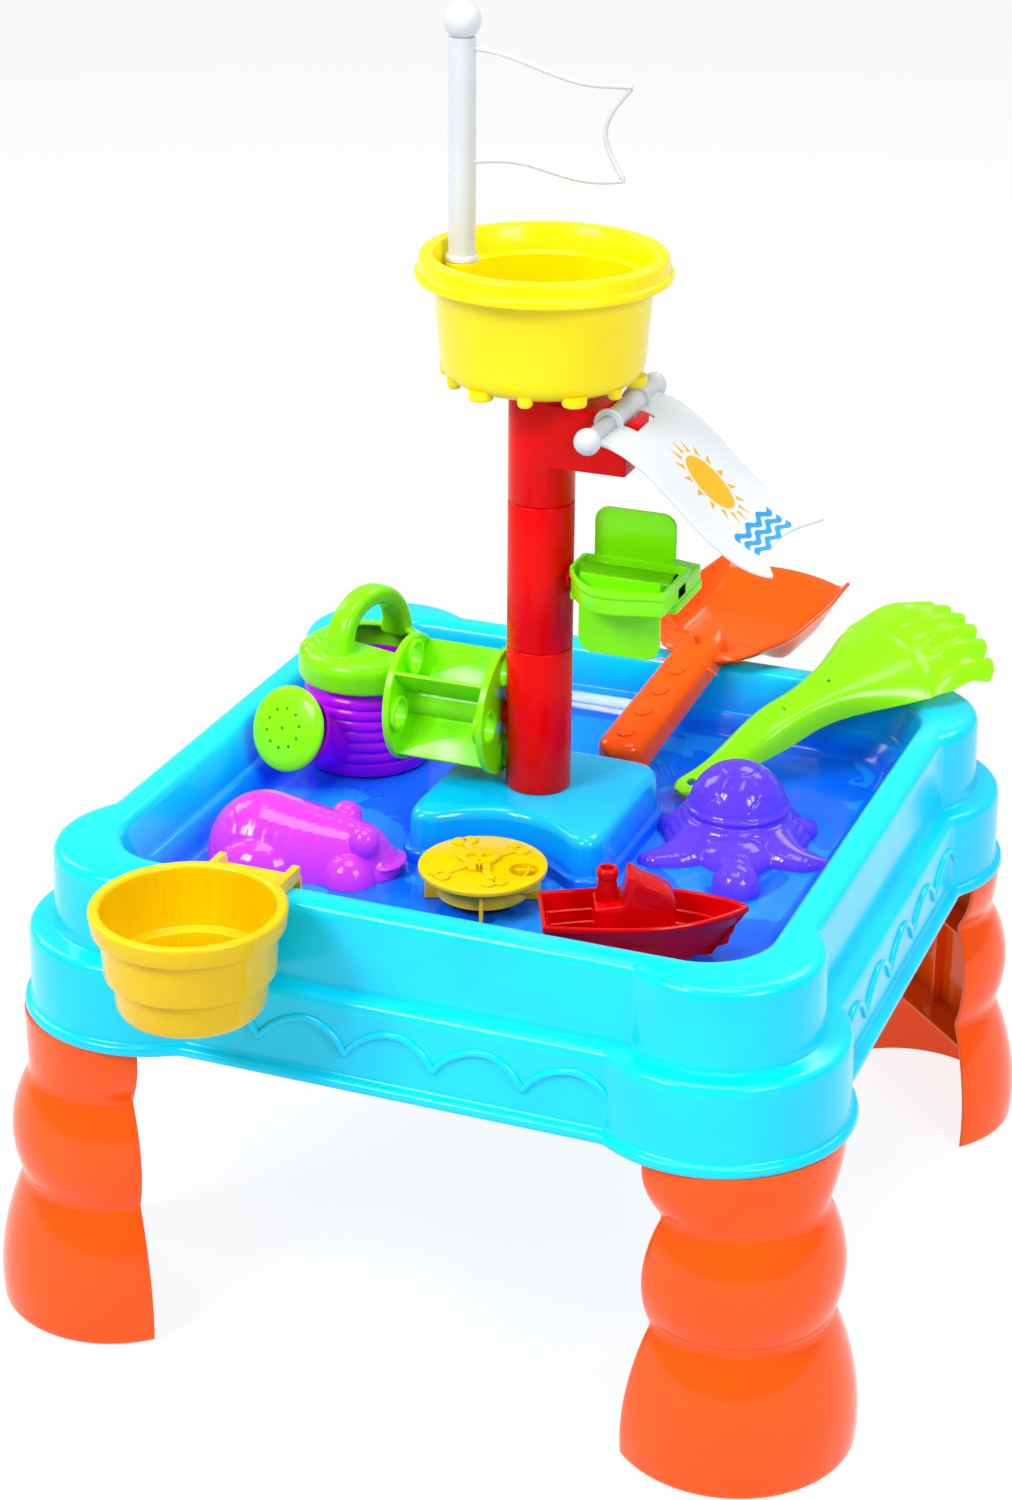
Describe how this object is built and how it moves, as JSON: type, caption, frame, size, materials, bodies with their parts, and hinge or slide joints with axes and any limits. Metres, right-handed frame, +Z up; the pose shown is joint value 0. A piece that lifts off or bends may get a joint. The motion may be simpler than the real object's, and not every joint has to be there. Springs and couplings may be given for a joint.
{
  "type": "sand and water table",
  "caption": "Raised play basin on four bulbous legs, with a mast carrying a bucket, a tilting sail, a paddle wheel and a tipping rotor, and loose sand toys.",
  "frame": {"origin": "on the floor under the centre of the square tub, which is also the axis of the mast", "axes": "+Z up, -Y towards the front (the side with the hook-on cup), +X towards the right-hand side, where the sail points"},
  "size_m": [0.539, 0.6529, 0.7609],
  "materials": {
    "tub_blue": "glossy moulded plastic",
    "leg_orange": "glossy moulded plastic",
    "mast_red": "glossy moulded plastic",
    "lime": "glossy moulded plastic",
    "white": "glossy moulded plastic",
    "sail_white": "glossy moulded plastic",
    "yellow": "glossy moulded plastic",
    "golden": "glossy moulded plastic",
    "can_purple": "glossy moulded plastic",
    "magenta": "glossy moulded plastic",
    "violet": "glossy moulded plastic",
    "boat_red": "glossy moulded plastic",
    "shovel_orange": "glossy moulded plastic",
    "rake_lime": "glossy moulded plastic"
  },
  "bodies": {
    "table": {"tub": "tub_blue", "leg_front_left": "leg_orange", "leg_front_right": "leg_orange", "leg_back_left": "leg_orange", "leg_back_right": "leg_orange", "mast_lower": "mast_red", "mast_middle": "mast_red", "mast_head": "mast_red", "wheel_axle": "mast_red", "rotor_axle": "mast_red"},
    "wheel": {"paddle_wheel": "lime"},
    "rotor": {"tipping_rotor": "lime"},
    "sail": {"sail_rod": "white", "sail_sheet": "sail_white"},
    "nest": {"nest_bucket": "yellow"},
    "flag_piece": {"flag": "white"},
    "cup": {"hook_cup": "golden"},
    "can": {"can_body": "can_purple", "can_lid": "lime", "can_rose": "lime"},
    "hippo": {"hippo_mould": "magenta"},
    "turtle": {"turtle_mould": "violet"},
    "stamp": {"sand_stamp": "golden"},
    "boat": {"boat_hull": "boat_red", "boat_cabin": "boat_red"},
    "shovel_piece": {"shovel": "shovel_orange"},
    "rake_piece": {"rake": "rake_lime"}
  },
  "joints": [
    {"name": "wheel_spin", "type": "hinge", "parent": "table", "child": "wheel", "pos_m": [-0.055, 0, 0.3335], "axis": [1, 0, 0], "continuous": true},
    {"name": "rotor_spin", "type": "hinge", "parent": "table", "child": "rotor", "pos_m": [0.055, 0, 0.4283], "axis": [1, 0, 0], "continuous": true},
    {"name": "sail_tilt", "type": "hinge", "parent": "table", "child": "sail", "pos_m": [0.0488, 0, 0.5327], "axis": [0, -1, 0], "range_deg": [0, 30]},
    {"name": "nest_lift", "type": "slide", "parent": "table", "child": "nest", "axis": [0, 0, 1], "range_m": [0, 0.06]},
    {"name": "flag_turn", "type": "hinge", "parent": "nest", "child": "flag_piece", "pos_m": [-0.0508, 0, 0.6], "axis": [0, 0, 1], "continuous": true},
    {"name": "cup_lift", "type": "slide", "parent": "table", "child": "cup", "axis": [0, 0, 1], "range_m": [0, 0.08]},
    {"name": "can_lift", "type": "slide", "parent": "table", "child": "can", "axis": [0, 0, 1], "range_m": [0, 0.06]},
    {"name": "hippo_lift", "type": "slide", "parent": "table", "child": "hippo", "axis": [0, 0, 1], "range_m": [0, 0.06]},
    {"name": "turtle_lift", "type": "slide", "parent": "table", "child": "turtle", "axis": [0, 0, 1], "range_m": [0, 0.06]},
    {"name": "stamp_lift", "type": "slide", "parent": "table", "child": "stamp", "axis": [0, 0, 1], "range_m": [0, 0.06]},
    {"name": "boat_lift", "type": "slide", "parent": "table", "child": "boat", "axis": [0, 0, 1], "range_m": [0, 0.08]},
    {"name": "shovel_lift", "type": "slide", "parent": "table", "child": "shovel_piece", "axis": [0, 0, 1], "range_m": [0, 0.08]},
    {"name": "rake_lift", "type": "slide", "parent": "table", "child": "rake_piece", "axis": [0, 0, 1], "range_m": [0, 0.08]}
  ]
}
